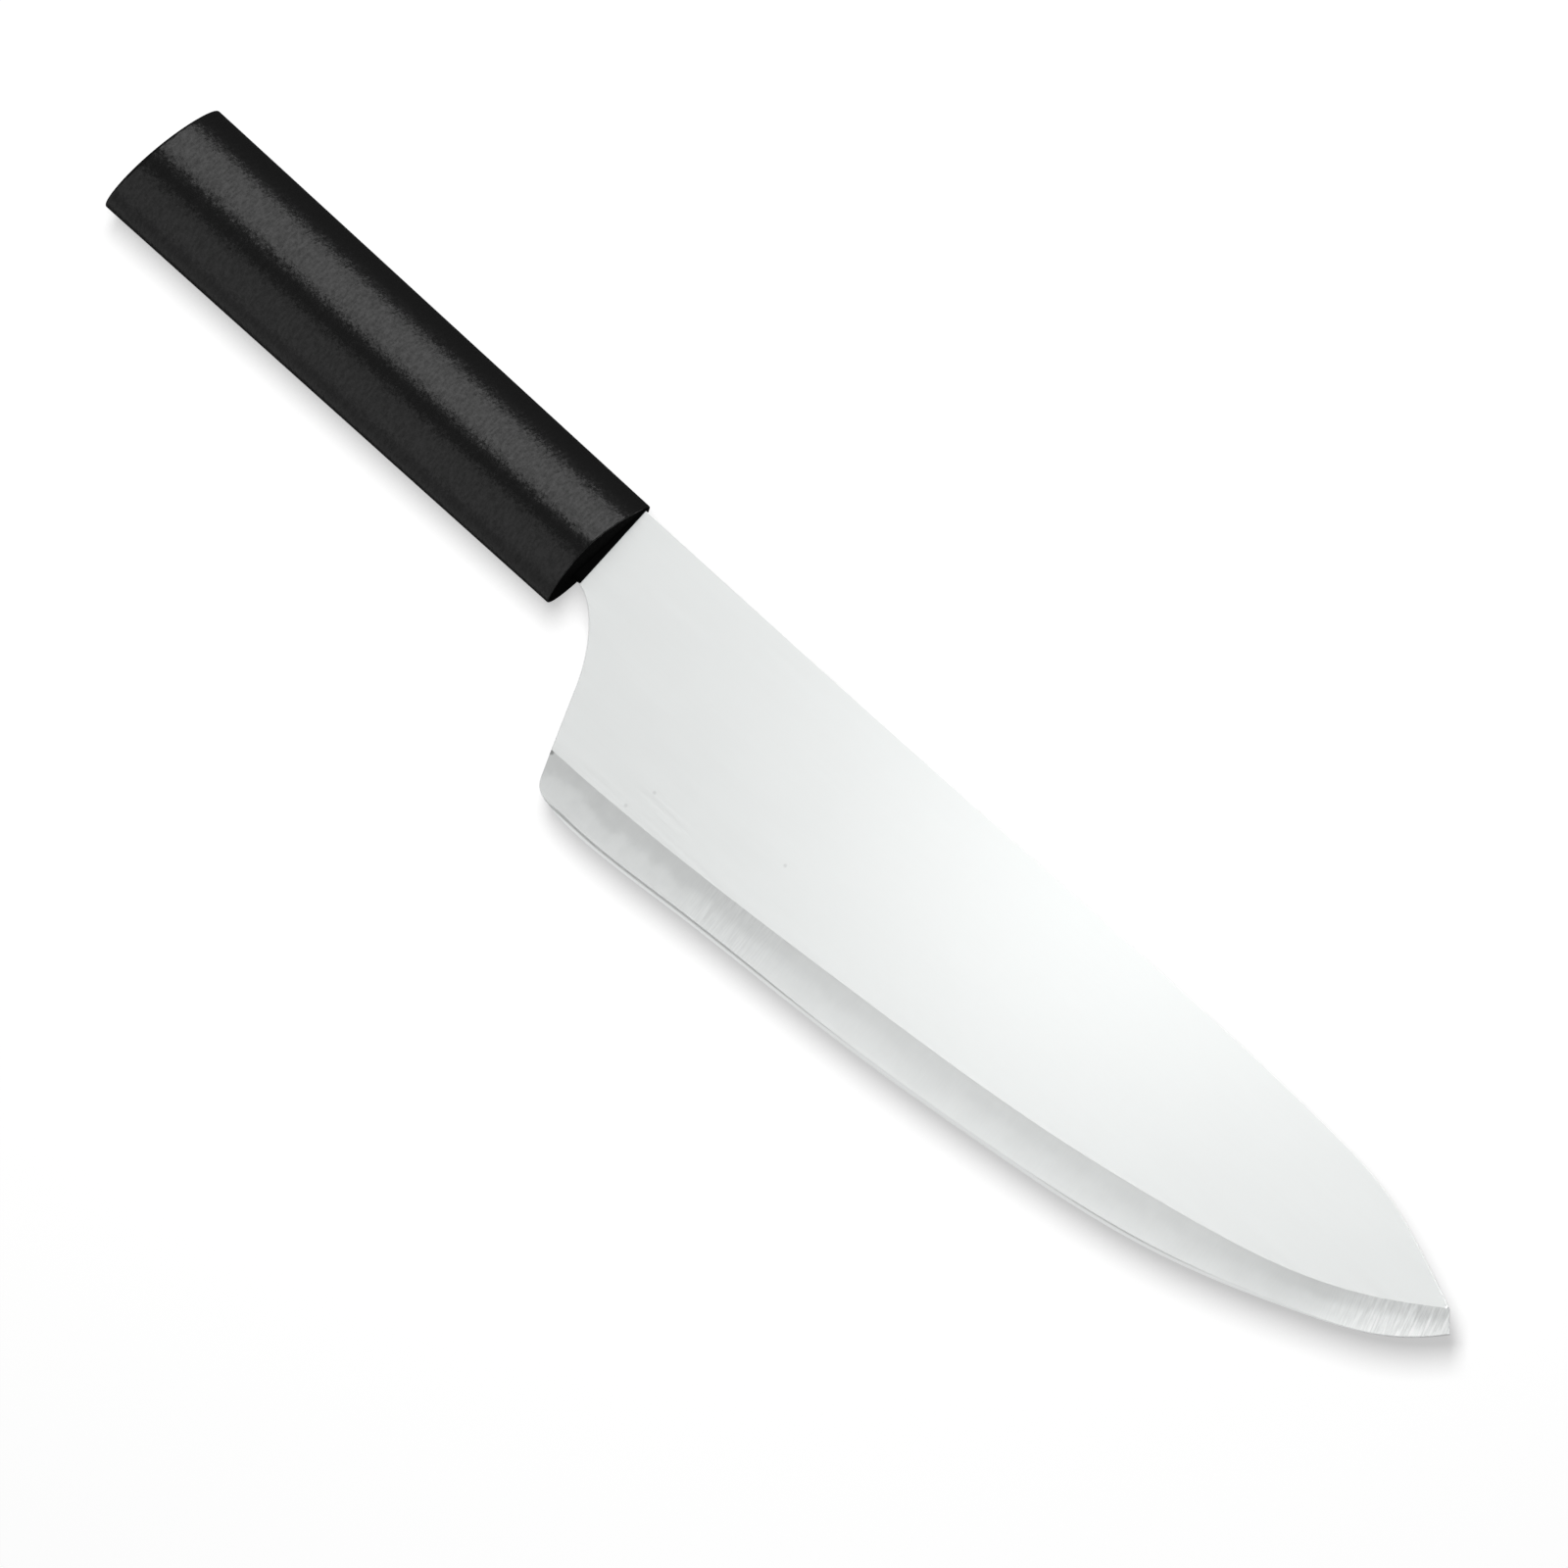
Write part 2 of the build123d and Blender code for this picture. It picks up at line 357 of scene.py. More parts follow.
def build_blade(settings, materials):
    """Two patches side by side, each a ruled grid between two curves, lifted to the half
    thickness on both sides of the middle plane and closed by a narrow wall all round."""
    shape = BladeShape(settings)

    # how far from a border its first rows and columns lie, to give its eased corner its shape
    steps = np.array([0, 0.02, 0.06, 0.12, 0.3])

    # columns along the grind line, closer together round the corner of the heel
    grind_length = np.hypot(*np.diff(shape.grind, axis=0).T).sum()
    close = np.linspace(0.45, 3.6, 22)
    along = np.concatenate((steps, close, np.linspace(4.3, grind_length, 240))) / grind_length
    grind = at_lengths(shape.grind, along)

    # the flat: tang, neck and choil, then down to the grind line
    choil = chain(shape.choil, straight(CHOIL[-1], GRIND_START, 24))
    tang_top = straight((TONGUE_END, TONGUE_END_HALF), (TONGUE_FRONT, TONGUE_FRONT_HALF), 40)
    tang_foot = tang_top * (1, -1)
    neck_top = straight((NECK_BACK, NECK_TOP), (-0.02, NECK_TOP), 8)
    neck_foot = straight((NECK_BACK, NECK_FOOT), (-0.02, NECK_FOOT), 8)
    spine_over_choil = straight(SPINE_START, (SPINE_OVER_HEEL, SPINE_START[1]), len(choil))
    spine_x = SPINE_OVER_HEEL + (GRIND_END[0] - SPINE_OVER_HEEL) * along
    spine_y = np.interp(spine_x, shape.spine[:, 0], shape.spine[:, 1])
    spine_over_grind = np.stack((spine_x, spine_y), 1)
    top = np.concatenate((tang_top, neck_top, spine_over_choil, spine_over_grind[1:]))
    foot = np.concatenate((tang_foot, neck_foot, choil, grind[1:]))
    length = np.hypot(*(top - foot).T)[None, :]
    rows = np.concatenate((
        steps[:, None] / (length + 1),
        np.linspace(0.05, 0.95, 22)[:, None] * np.ones_like(length),
        1 - steps[::-1, None] / (length + 1),
    ))
    rows = np.sort(rows, axis=0)[..., None]
    flat = top * (1 - rows) + foot * rows

    # the band: from the grind line down to the edge
    edge = at_lengths(shape.bottom, along)
    depth = np.hypot(*(grind - edge).T)[None, :]
    inner, outer = shape.bevel_steps(edge[:, 0])
    below = np.stack((outer + 0.03, outer, (inner + outer) / 2, inner, inner / 2, inner * 0))
    rows = np.concatenate((
        steps[:, None] / depth,
        np.linspace(0.07, 0.97, 16)[:, None] * (1 - outer / depth),
        1 - below / depth,
    ))
    hollow_rows = len(rows) - 5  # rows of faces above the shoulder
    rows = np.sort(rows, axis=0)[..., None]
    band = grind * (1 - rows) + edge * rows

    points, faces, slots, borders, shares = [], [], [], [], []
    start = 0
    patches = (flat, FLAT, FLAT, 0), (band, BAND, BEVEL, hollow_rows)
    for patch, first_slot, last_slot, first_rows in patches:
        r, c = patch.shape[:2]
        quads = grid_faces(r, c, first=start)
        row = np.arange(len(quads)) // (c - 1)
        slots.append(np.where(row < first_rows, first_slot, last_slot))
        borders.append(start + np.arange(r * c).reshape(r, c))
        height = shape.half_thickness(patch)
        points.append(np.concatenate((patch, height[..., None]), axis=-1).reshape(-1, 3))
        shares.append(shape.band(patch[..., 0], patch[..., 1])[0].reshape(-1))
        faces.append(quads)
        start += r * c
    shares = np.clip(np.concatenate(shares), 0, 1)
    points = np.concatenate(points)
    faces = np.concatenate(faces)
    slots = np.concatenate(slots)
    mirrored = points * (1, 1, -1)
    flat_index, band_index = borders
    choil_end = len(tang_top) + len(neck_top) + len(choil) - 1
    walls = [
        (flat_index[0], RIM),
        (flat_index[:, 0], RIM),
        (flat_index[-1, :choil_end + 1], RIM),
        (band_index[:, 0], RIM),
        (band_index[-1], BEVEL),
        (band_index[:, -1], RIM),
    ]
    wall_faces, wall_slots = [], []
    for line, slot in walls:
        below = line + len(points)
        wall_faces.append(np.stack((line[:-1], line[1:], below[1:], below[:-1]), 1))
        wall_slots.append(np.full(len(line) - 1, slot))
    all_faces = np.concatenate([faces, faces[:, ::-1] + len(points)] + wall_faces)
    all_slots = np.concatenate([slots, slots] + wall_slots)
    all_points = np.concatenate((points, mirrored))
    all_shares = np.tile(shares, 2)
    return make_object("knife_blade", all_points, all_faces, materials, all_slots, all_shares)


# ---------------------------------------------------------------------------------------------
# Handle

def oval(half_width, half_thickness, blunt, flat, count):
    """A pointed oval: in each quarter the cubic Bezier curve from (a, 0) by (a, blunt b) and
    (flat a, b) to (0, b), so it meets its two edges bluntly or sharply and stays broad between."""
    t = np.linspace(0, 1, count // 4, endpoint=False)
    y = (1 - t)**3 + 3 * (1 - t)**2 * t + 3 * (1 - t) * t**2 * flat
    z = 3 * (1 - t)**2 * t * blunt + 3 * (1 - t) * t**2 + t**3
    first = np.stack((y, z), 1)
    second = np.concatenate(([[0.0, 1.0]], first[:0:-1] * (-1, 1)))
    ring = np.concatenate((first, second))
    return np.concatenate((ring, -ring)) * (half_width, half_thickness)


def rounded_bar(foot, head, half_thickness, radius, count):
    """A rectangle from y = foot to y = head with rounded corners, as evenly spaced points that
    start on its head side and run the same way round as the oval."""
    h = half_thickness
    corners = np.array([(head, h), (foot, h), (foot, -h), (head, -h)], float)
    line = [np.array([[head, 0.0]])]
    for i in range(4):
        before, after = corners[i - 1], corners[(i + 1) % 4]
        line.append(rounded_corner(before, corners[i], after, radius, count=10))
    line.append(line[0])
    return at_lengths(np.concatenate(line), np.linspace(0, 1, count, endpoint=False))


def inward(ring, distance):
    """The ring moved inwards, square to itself, by one distance or by one for each point."""
    run = np.roll(ring, -1, axis=0) - np.roll(ring, 1, axis=0)
    run /= np.hypot(*run.T)[:, None]
    return ring + np.reshape(distance, (-1, 1)) * np.stack((-run[:, 1], run[:, 0]), 1)


def build_handle(settings, materials):
    """Rings of points carried from the middle of the butt, round its rim, along the grip, round
    the front rim, over the front face and the collar, and down into the pocket for the tang."""
    count = settings.ring_points
    butt_slope = math.tan(settings.butt_slant)
    front_slope = math.tan(settings.front_slant)
    crown = settings.front_crown / MM
    setback = settings.front_setback / MM

    def section(share):
        """The outer ring, from the front at 0 to the butt at 1; its sizes change evenly."""
        front = settings.front_width, settings.front_thickness, settings.oval_flat
        butt = settings.butt_width, settings.butt_thickness, settings.butt_oval_flat
        width, thickness, flat = (a + share * (b - a) for a, b in zip(front, butt))
        return oval(width / MM / 2, thickness / MM / 2, settings.oval_edge, flat, count)

    def butt_x(ring):
        """Where the points of a ring meet the butt, a slanted plane."""
        return -HANDLE_LENGTH + butt_slope * ring[:, 0]

    def front_x(ring):
        """Where the points of a ring meet the front, a slanted plane less the fall of a circle."""
        return -setback + front_slope * ring[:, 0] - (crown - np.sqrt(crown**2 - ring[:, 1]**2))

    rings = []

    def add(ring, x):
        """One more ring, at one distance along the handle or at one for each point."""
        rings.append(np.column_stack((np.broadcast_to(x, (count,)), ring)))

    quarter = np.linspace(0, math.pi / 2, 7)
    butt = section(1)
    on_face = (butt[:, 1] / butt[:, 1].max())**2
    butt_round = (settings.butt_rounding + on_face * settings.butt_face_rounding) / MM
    inner = inward(butt, butt_round)
    for share in (0, 0.15, 0.3, 0.45, 0.6, 0.75, 0.88, 0.96):
        add(inner * share, butt_x(inner * share))
    for angle in quarter:
        ring = inward(butt, butt_round * (1 - math.sin(angle)))
        add(ring, butt_x(ring) + butt_round * (1 - math.cos(angle)))

    front = section(0)
    front_round = settings.front_rounding / MM
    for share in np.linspace(0.996, 0.004, settings.grip_rows):
        ring = section(share)
        back = butt_x(ring) + butt_round
        ahead = front_x(front) - front_round
        add(ring, back * share + ahead * (1 - share))
    for angle in quarter[::-1]:
        ring = inward(front, front_round * (1 - math.sin(angle)))
        add(ring, front_x(ring) - front_round * (1 - math.cos(angle)))

    end_ring = len(rings)
    inner = inward(front, front_round)
    collar = rounded_bar(COLLAR_FOOT, COLLAR_HEAD, COLLAR_HALF_THICKNESS, COLLAR_CORNER, count)
    for share in (0.04, 0.15, 0.3, 0.5, 0.7, 0.85, 0.95):
        ring = inner * (1 - share) + collar * share
        add(ring, front_x(ring))
    add(collar, front_x(collar) + 0.02)
    ahead = settings.collar_reach / MM
    add(collar, ahead - COLLAR_ROUNDING)
    for angle in quarter[::-1][1:]:
        ring = inward(collar, COLLAR_ROUNDING * (1 - math.sin(angle)))
        add(ring, ahead - COLLAR_ROUNDING * (1 - math.cos(angle)))

    def pocket(foot, head):
        """The pocket's ring round a part of the tang that runs from foot to head."""
        foot, head = foot - POCKET_GAP, head + POCKET_GAP
        return rounded_bar(foot, head, POCKET_HALF_THICKNESS, POCKET_CORNER, count)

    mouth = pocket(CHOIL[0][1], SPINE_START[1])
    add(mouth, ahead)
    add(mouth, -0.1)
    add(mouth, NECK_BACK)
    add(pocket(-TONGUE_FRONT_HALF, TONGUE_FRONT_HALF), TONGUE_FRONT)
    end = pocket(-TONGUE_END_HALF, TONGUE_END_HALF)
    add(end, TONGUE_END)
    add(end * 0, TONGUE_END)

    faces = grid_faces(len(rings), count, closed=True)
    # the faces from the front rim inwards get the near-black resin, which is painted shade
    in_shade = np.arange(len(faces)) // count >= end_ring - 1
    return make_object("knife_handle", np.concatenate(rings), faces, materials, in_shade.astype(int))


# ---------------------------------------------------------------------------------------------
# Materials

class Shader:
    """A material's node tree, with one call to add a node, set it up and join it."""

    def __init__(self, name):
        self.material = bpy.data.materials.new(name)
        self.material.use_nodes = True
        self.tree = self.material.node_tree
        self.tree.nodes.clear()
        self.surface = self.add("ShaderNodeBsdfPrincipled")
        output = self.add("ShaderNodeOutputMaterial")
        self.tree.links.new(self.surface.outputs["BSDF"], output.inputs["Surface"])

    def add(self, kind, inputs=(), **settings):
        """A node of that kind. Inputs maps a socket's name or number to a value or an output."""
        made = self.tree.nodes.new(kind)
        for name, value in settings.items():
            setattr(made, name, value)
        for name, value in dict(inputs).items():
            self.join(made, name, value)
        return made

    def join(self, made, name, value):
        """Sets one input of a node to a value, or links an output to it."""
        if isinstance(value, bpy.types.NodeSocket):
            self.tree.links.new(value, made.inputs[name])
        else:
            made.inputs[name].default_value = value

    def place(self):
        """Object coordinates, in metres."""
        return self.add("ShaderNodeTexCoord").outputs["Object"]

    def vector(self, operation, a, b):
        """A product, distance or other simple operation on two vectors."""
        made = self.add("ShaderNodeVectorMath", {0: a, 1: b}, operation=operation)
        return made.outputs["Value" if operation in ("DOT_PRODUCT", "DISTANCE") else "Vector"]

    def stretched(self, spacing):
        """Object coordinates divided by a spacing in metres along each axis."""
        return self.vector("MULTIPLY", self.place(), [1 / s for s in spacing])

    def across_blade(self, lean, spacing, length):
        """Coordinates for strokes that cross the blade at a lean from square: one unit between
        strokes and one unit along a stroke are the spacing and the length in metres."""
        place = self.place()
        c, s = math.cos(lean), math.sin(lean)
        u = self.vector("DOT_PRODUCT", place, (c / spacing, s / spacing, 0))
        v = self.vector("DOT_PRODUCT", place, (-s / length, c / length, 0))
        return self.add("ShaderNodeCombineXYZ", {"X": u, "Y": v}).outputs[0]

    def reach(self):
        """Millimetres from the front of the handle towards the tip."""
        along = self.vector("DOT_PRODUCT", self.place(), (1 / MM, 0, 0))
        return self.math("SUBTRACT", along, JUNCTION.x / MM)

    def mark(self, x, y, radius, depth):
        """1 everywhere but on a small soft spot, where it falls to depth. The place and the radius
        are in millimetres on the knife's middle plane."""
        flat = self.vector("MULTIPLY", self.place(), (1 / MM, 1 / MM, 0))
        centre = (JUNCTION.x / MM + x, JUNCTION.y / MM + y, 0)
        away = self.vector("DISTANCE", flat, centre)
        return self.ramp(away, 0.3 * radius, radius, depth, 1.0)

    def math(self, operation, *values):
        """A sum, product or other simple operation on the values."""
        return self.add("ShaderNodeMath", enumerate(values), operation=operation).outputs[0]

    def scaled(self, colour, share):
        """A colour times a value."""
        inputs = {0: colour[:], "Scale": share}
        return self.add("ShaderNodeVectorMath", inputs, operation="SCALE").outputs[0]

    def noise(self, vector, detail=2.0, roughness=0.5):
        """Smooth noise between 0 and 1, about one bump to each unit of the vector."""
        inputs = {"Vector": vector, "Scale": 1.0, "Detail": detail, "Roughness": roughness}
        return self.add("ShaderNodeTexNoise", inputs).outputs["Fac"]

    def ramp(self, value, low, high, out_low, out_high):
        """The value carried from the range low..high to out_low..out_high, smoothly and held."""
        ends = {"From Min": low, "From Max": high, "To Min": out_low, "To Max": out_high}
        inputs = {"Value": value, **ends}
        return self.add("ShaderNodeMapRange", inputs, interpolation_type="SMOOTHSTEP").outputs[0]

    def bump(self, height, distance, normal=None):
        """A normal disturbed by a height between 0 and 1 that stands for distance metres."""
        inputs = {"Height": height, "Distance": distance, "Strength": 1.0}
        if normal is not None:
            inputs["Normal"] = normal
        return self.add("ShaderNodeBump", inputs).outputs[0]

    def finish(self, **inputs):
        """Sets the surface's own inputs, by names with underscores for spaces."""
        for name, value in inputs.items():
            self.join(self.surface, name.replace("_", " "), value)
        return self.material


def satin_steel(look):
    """The flat of the blade: fine lines along it, a soft sheen and a few small specks."""
    shader = Shader("satin_steel")
    lines = shader.noise(shader.stretched((0.02, 0.0003, 0.0003)), detail=3)
    rough = shader.ramp(lines, 0.3, 0.7, look.flat_roughness - 0.02, look.flat_roughness + 0.02)
    tone = shader.ramp(lines, 0.3, 0.7, 0.995, 1.005)
    for x, y in SPECKS:
        tone = shader.math("MULTIPLY", tone, shader.mark(x, y, 0.5, 0.86))
    colour = shader.scaled(look.steel_colour, tone)
    return shader.finish(Base_Color=colour, Metallic=1.0, Roughness=rough)


def ground_steel(look):
    """The hollow-ground band: strokes of the wheel across it, strongest at the tip and next on a
    short stretch past the heel, over a faint cloudiness, with a darker stripe of painted shade under
    the grind line, where the hollow tilts away from the lights. The band is a little darker near the
    heel and a little lighter at the tip, and it has a dark spot at the heel end of the grind line."""
    shader = Shader("ground_steel")
    reach = shader.reach()

    # how strong the strokes are: from 188 mm to the tip, and between about 56 and 73 mm
    tip = shader.ramp(reach, 188, 206, 0, 0.9)
    middle_start = shader.ramp(reach, 52, 60, 0, 0.4)
    middle_end = shader.ramp(reach, 68, 78, 1, 0)
    middle = shader.math("ADD", shader.math("MULTIPLY", middle_start, middle_end), 0.08)
    spacing, length = 0.00036, 0.005
    strokes = []
    for lean, strength in ((look.stroke_lean, tip), (0.25 * look.stroke_lean, middle)):
        across = shader.across_blade(lean, spacing, length)
        stroke = shader.noise(across, detail=3, roughness=0.65)
        stroke = shader.ramp(stroke, 0.3, 0.7, -1, 1)
        strokes.append(shader.math("MULTIPLY", stroke, strength))
    stroke = shader.math("ADD", *strokes)
    cloud = shader.noise(shader.stretched((0.005, 0.005, 0.005)), detail=3)
    cloud = shader.ramp(cloud, 0.3, 0.7, -1, 1)

    # painted shade: a darker stripe with an uneven border under the grind line, where the hollow
    # tilts away from the lights, strongest at its two ends
    share = shader.add("ShaderNodeAttribute", attribute_name="band_share").outputs["Fac"]
    unevenness = shader.ramp(reach, 30, 70, 0.12, 0.03)
    share = shader.math("ADD", share, shader.math("MULTIPLY", cloud, unevenness))
    shade_strip = shader.ramp(share, 0.25, 0.55, 1, 0)
    heel_shade = shader.ramp(reach, 50, 110, 0.08, 0.02)
    tip_shade = shader.ramp(reach, 175, 200, 0, 0.09)
    shade_strip = shader.math("MULTIPLY", shade_strip, shader.math("ADD", heel_shade, tip_shade))

    tone = shader.math("ADD", shader.math("MULTIPLY", stroke, look.stroke_tone), 1.0)
    cloudiness = shader.ramp(reach, 30, 70, 0.025, 0.012)
    tone = shader.math("ADD", tone, shader.math("MULTIPLY", cloud, cloudiness))
    # the stripe of painted shade is taken off the tone here
    tone = shader.math("SUBTRACT", tone, shade_strip)
    for change in (
        shader.ramp(reach, 15, 100, 0.94, 1.0),
        shader.ramp(reach, 186, 204, 1.0, 1.12),
        shader.mark(*HEEL_SPOT, 0.8, 0.5),
    ):
        tone = shader.math("MULTIPLY", tone, change)
    colour = shader.scaled(look.ground_colour, tone)
    rough = shader.math("MULTIPLY_ADD", stroke, 0.05, look.ground_roughness)
    height = shader.math("MULTIPLY_ADD", stroke, 0.5, 0.5)
    normal = shader.bump(height, look.scratch_depth)
    return shader.finish(Base_Color=colour, Metallic=1.0, Roughness=rough, Normal=normal)


def sharpened_steel(look):
    """The shoulder and the narrow bevel honed along the edge: the band's colour, but smoother."""
    shader = Shader("sharpened_steel")
    return shader.finish(Base_Color=(*look.ground_colour, 1), Metallic=1.0, Roughness=0.38)


def punched_steel(look):
    """The narrow faces all round the blade, left frosted where the sheet was cut."""
    shader = Shader("punched_steel")
    grain = shader.noise(shader.stretched((0.0003, 0.0003, 0.003)), detail=3)
    rough = shader.ramp(grain, 0.3, 0.7, 0.5, 0.6)
    return shader.finish(Base_Color=(*look.steel_colour, 1), Metallic=0.15, Roughness=rough)


def black_resin(look):
    """The grip: black moulded resin with a fine pebble and torn drag lines round the section. Its
    sheen is stronger on the high places of both."""
    shader = Shader("black_resin")
    streak = shader.noise(shader.stretched((0.00055, 0.0019, 0.0019)), detail=2)
    pebble = shader.noise(shader.stretched((0.0005, 0.0005, 0.0005)), detail=1)
    normal = shader.bump(streak, look.streak_depth)
    normal = shader.bump(pebble, look.pebble_depth, normal)
    streak_share = shader.ramp(streak, 0.3, 0.7, -0.6, 0.6)
    pebble_share = shader.ramp(pebble, 0.3, 0.7, -0.4, 0.4)
    raised = shader.math("ADD", streak_share, pebble_share)
    sheen = shader.math("MULTIPLY_ADD", raised, look.sheen_change, look.resin_specular)
    return shader.finish(
        Base_Color=(*look.resin_colour, 1), Roughness=look.resin_roughness,
        Specular_IOR_Level=sheen, Normal=normal,
    )


def shaded_resin(look):
    """The end at the blade with its collar: the same resin, matte, painted near black with almost no
    sheen as painted shade for the faces that turn away from the lights.
    """
    shader = Shader("shaded_resin")
    grain = shader.noise(shader.stretched((0.0005, 0.0005, 0.0005)), detail=2)
    rough = shader.ramp(grain, 0.3, 0.7, 0.8, 0.9)
    return shader.finish(
        Base_Color=(0.001, 0.001, 0.001, 1), Roughness=rough, Specular_IOR_Level=0.02,
    )


# ---------------------------------------------------------------------------------------------
# Stage
#
# Places and lengths are in metres, but for the camera's target, which is in millimetres on the
# knife's middle plane.

TABLE_HALF = 6.0
BOX_AIM = (0.1, 0, 0)
BOX_DISTANCE = 2.0
BOX_LENGTH = 4.2
OVERHEAD_PLACE = (0.031, 0.030, 0.21)
OVERHEAD_AIM = (0.072, 0.030, 0)
OVERHEAD_SIDE = 0.05
TABLE_LAMP_PLACE = (-0.15, 0.23, 1.0)
TABLE_LAMP_SIDES = (0.36, 0.68)
CAMERA_TARGET = (53.95, -8.395)


def make_floor(stage):
    """A wide pale sheet under the knife, lit softly from within so that it stays white. The
    knife's reflections don't show it."""
    mesh = bpy.data.meshes.new("lit_table")
    corners = [(x * TABLE_HALF, y * TABLE_HALF, 0) for x, y in ((-1, -1), (1, -1), (1, 1), (-1, 1))]
    mesh.from_pydata(corners, [], [(0, 1, 2, 3)])
    shader = Shader("lit_table")
    mesh.materials.append(shader.finish(
        Base_Color=(0.8, 0.8, 0.8, 1), Roughness=0.9, Specular_IOR_Level=0.0,
        Emission_Color=(1, 1, 1, 1), Emission_Strength=stage.table_glow,
    ))
    floor = bpy.data.objects.new("lit_table", mesh)
    bpy.context.scene.collection.objects.link(floor)
    floor.visible_glossy = False


def softbox(name, place, aim, long_side, short_side, brightness):
    """A rectangular light at a place, facing the aim, hidden from the camera. Its power is its
    brightness times pi times its area, so it looks as bright at any size and distance."""
    light = bpy.data.lights.new(name, "AREA")
    light.shape = "RECTANGLE"
    light.size = long_side
    light.size_y = short_side
    light.energy = brightness * math.pi * long_side * short_side
    lamp = bpy.data.objects.new(name, light)
    lamp.location = place
    lamp.rotation_euler = (Vector(place) - Vector(aim)).to_track_quat("Z", "Y").to_euler()
    lamp.visible_camera = False
    bpy.context.scene.collection.objects.link(lamp)
    return lamp


def shine_only_on(lamp, names, shaded_by=()):
    """Lets a lamp light those objects and no others. If shaded_by names any objects, only those
    throw a shadow in its light."""
    lit = bpy.data.collections.new(lamp.name + "_lights")
    for name in names:
        lit.objects.link(bpy.data.objects[name])
    lamp.light_linking.receiver_collection = lit
    if shaded_by:
        shading = bpy.data.collections.new(lamp.name + "_shading")
        for name in shaded_by:
            shading.objects.link(bpy.data.objects[name])
        lamp.light_linking.blocker_collection = shading


def make_lights(stage):
    """A wide softbox over the spine, two dim ones over the edge, a small one over the blade, a
    lamp for the table, and a dark room around them. Each wide box's tilt is its angle from straight
    above towards the spine, and its spread is the angle that it fills, both in degrees."""
    knife = ("knife_blade", "knife_handle")
    for name, tilt, spread, brightness, shaded_by in (
        ("key_box", 36.1, 54.4, stage.key_brightness, ("lit_table",)),
        ("fill_box", -52, 52, stage.fill_brightness, ("lit_table",)),
        ("low_fill_box", -102, 48, stage.low_fill_brightness, ()),
    ):
        angle = math.radians(tilt)
        width = 2 * BOX_DISTANCE * math.tan(math.radians(spread / 2))
        place = (BOX_AIM[0], BOX_DISTANCE * math.sin(angle), BOX_DISTANCE * math.cos(angle))
        lamp = softbox(name, place, BOX_AIM, BOX_LENGTH, width, brightness)
        shine_only_on(lamp, knife, shaded_by)
    lamp = softbox(
        "overhead_box", OVERHEAD_PLACE, OVERHEAD_AIM, OVERHEAD_SIDE, OVERHEAD_SIDE,
        stage.spot_brightness,
    )
    shine_only_on(lamp, ("knife_blade",), shaded_by=("lit_table",))
    lamp = softbox(
        "table_lamp", TABLE_LAMP_PLACE, (0, 0, 0), *TABLE_LAMP_SIDES, stage.table_brightness
    )
    shine_only_on(lamp, ("lit_table",))
    world = bpy.data.worlds.new("room")
    world.use_nodes = True
    world.node_tree.nodes["Background"].inputs["Color"].default_value = (1, 1, 1, 1)
    world.node_tree.nodes["Background"].inputs["Strength"].default_value = stage.room_brightness
    bpy.context.scene.world = world


def make_camera(stage):
    """A long lens over the knife, leaning towards the tip and rolled so that the knife lies from
    the upper left to the lower right."""
    lean, roll = stage.camera_lean, stage.camera_roll
    toward_tip = Vector((math.cos(lean), 0, -math.sin(lean)))
    toward_spine = Vector((0, 1, 0))
    back = Vector((math.sin(lean), 0, math.cos(lean)))
    right = math.cos(roll) * toward_tip + math.sin(roll) * toward_spine
    up = -math.sin(roll) * toward_tip + math.cos(roll) * toward_spine
    target = JUNCTION + Vector((*CAMERA_TARGET, 0)) * MM
    camera = bpy.data.objects.new("camera", bpy.data.cameras.new("camera"))
    place = Matrix((right, up, back)).transposed().to_4x4()
    place.translation = target + back * stage.camera_distance
    camera.matrix_world = place
    camera.data.sensor_width = 36
    camera.data.lens = stage.camera_lens
    camera.data.clip_end = 50
    bpy.context.scene.collection.objects.link(camera)
    bpy.context.scene.camera = camera


# ---------------------------------------------------------------------------------------------
# Settings

